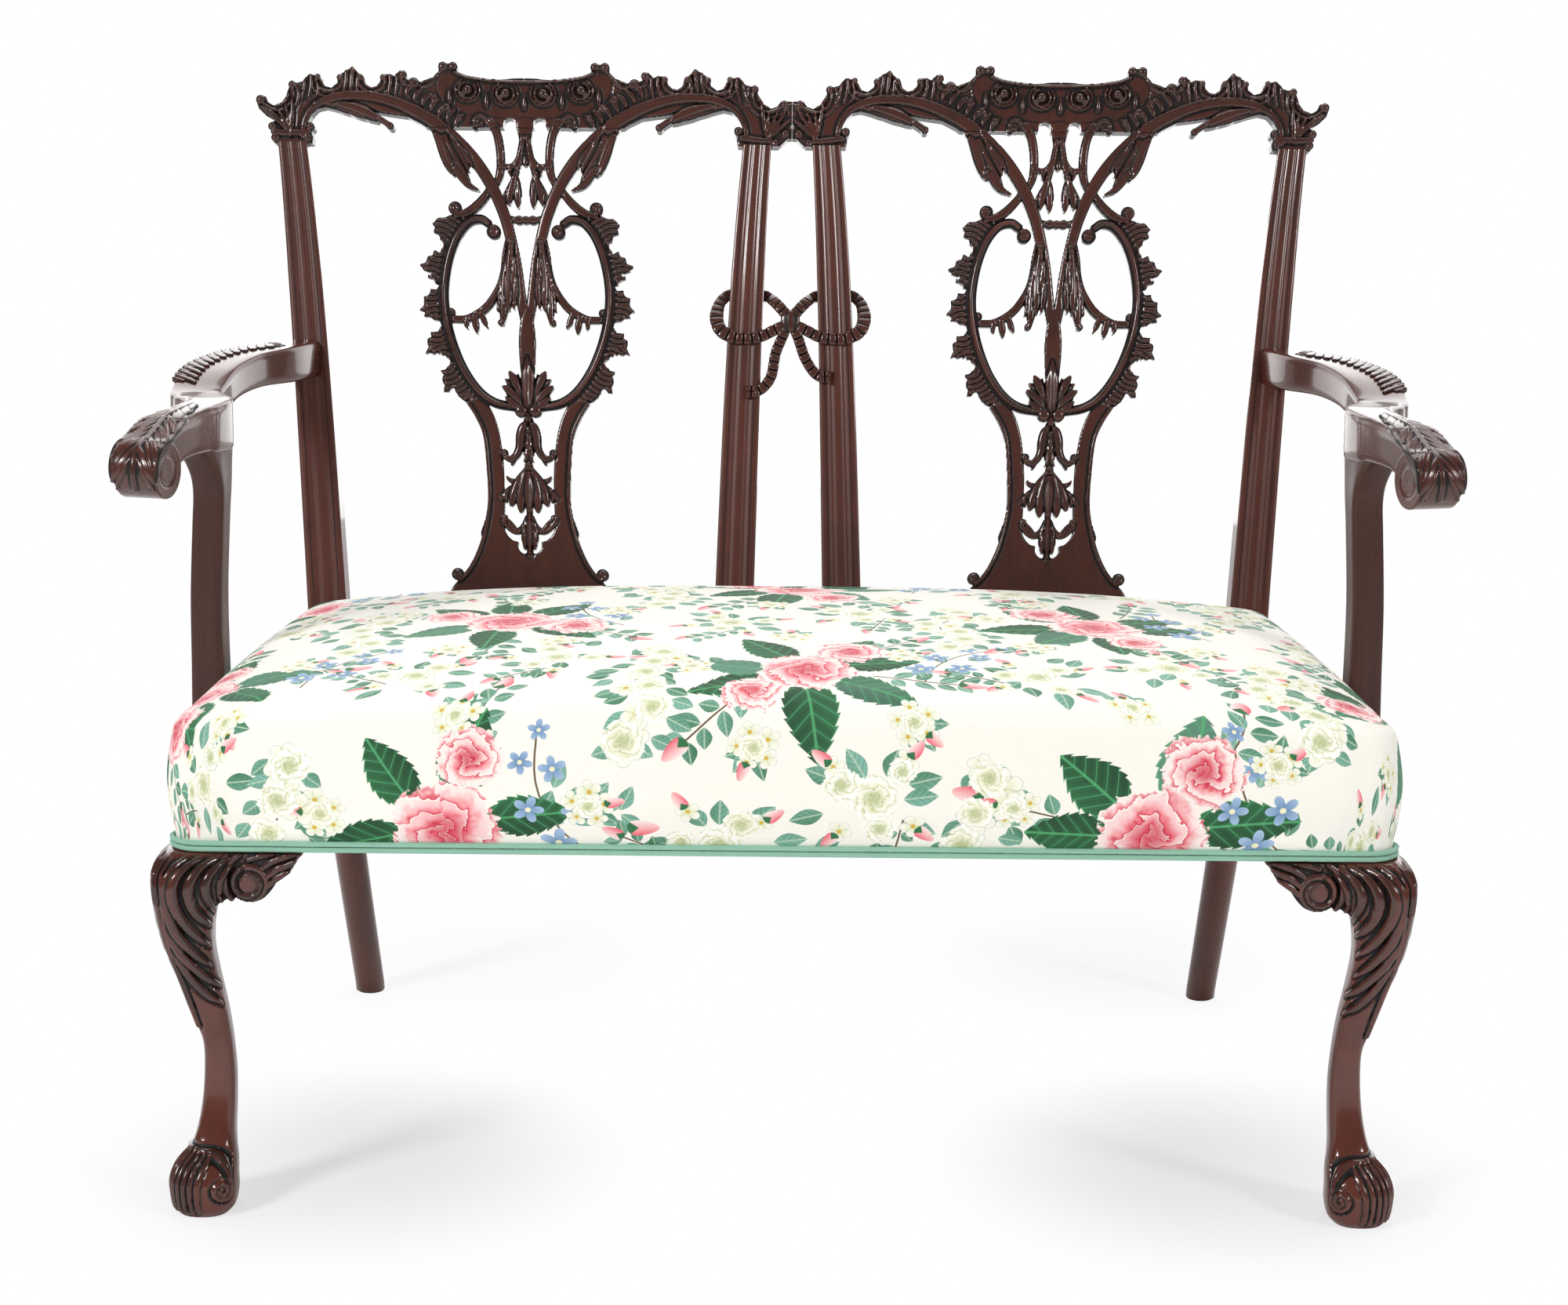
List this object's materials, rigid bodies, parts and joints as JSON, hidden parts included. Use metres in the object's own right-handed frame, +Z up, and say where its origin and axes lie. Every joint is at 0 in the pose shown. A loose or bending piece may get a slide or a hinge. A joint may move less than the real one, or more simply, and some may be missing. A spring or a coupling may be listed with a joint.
{
  "type": "settee",
  "caption": "Settee with a back of joined pierced chair backs, scrolled arms, cabriole front legs and a stuffed-over floral seat.",
  "frame": {"origin": "under the middle of the whole piece, on the floor", "axes": "+X to the right as seen from the front, +Y to the back, +Z up"},
  "size_m": [1.1574, 0.6704, 0.969],
  "materials": {
    "mahogany": "dark red-brown mahogany, French polished",
    "beech": "raw beech of the hidden seat frame",
    "cover_cloth": "cream cotton printed with flowers",
    "welt_cloth": "green corded double welt",
    "webbing": "woven jute webbing",
    "hessian": "coarse hessian",
    "stuffing": "hair and cotton felt stuffing",
    "dust_cloth": "thin black bottom cloth",
    "steel": "plain steel screws"
  },
  "bodies": {
    "root": {"arm_left": "mahogany", "arm_right": "mahogany", "arm_screw_left": "steel", "arm_screw_right": "steel", "arm_support_left": "mahogany", "arm_support_right": "mahogany", "corner_block_front_left": "beech", "corner_block_front_right": "beech", "corner_block_rear_left": "beech", "corner_block_rear_right": "beech", "corner_screw_front_left": "steel", "corner_screw_front_right": "steel", "corner_screw_rear_left": "steel", "corner_screw_rear_right": "steel", "crest_rail_left": "mahogany", "crest_rail_right": "mahogany", "dust_cover": "dust_cloth", "front_leg_left": "mahogany", "front_leg_right": "mahogany", "hessian_deck": "hessian", "inner_stile_left": "mahogany", "inner_stile_right": "mahogany", "knee_bracket_front_left": "mahogany", "knee_bracket_front_right": "mahogany", "knee_bracket_side_left": "mahogany", "knee_bracket_side_right": "mahogany", "rear_leg_and_stile_left": "mahogany", "rear_leg_and_stile_right": "mahogany", "ribbon_bow": "mahogany", "seat_brace": "beech", "seat_cover": "cover_cloth", "seat_pad": "stuffing", "seat_rail_front": "beech", "seat_rail_left": "beech", "seat_rail_rear": "mahogany", "seat_rail_right": "beech", "seat_webbing": "webbing", "splat_left": "mahogany", "splat_right": "mahogany", "splat_shoe_left": "mahogany", "splat_shoe_right": "mahogany", "support_screw_lower_left": "steel", "support_screw_lower_right": "steel", "support_screw_upper_left": "steel", "support_screw_upper_right": "steel", "welt_trim": "welt_cloth"}
  },
  "joints": []
}
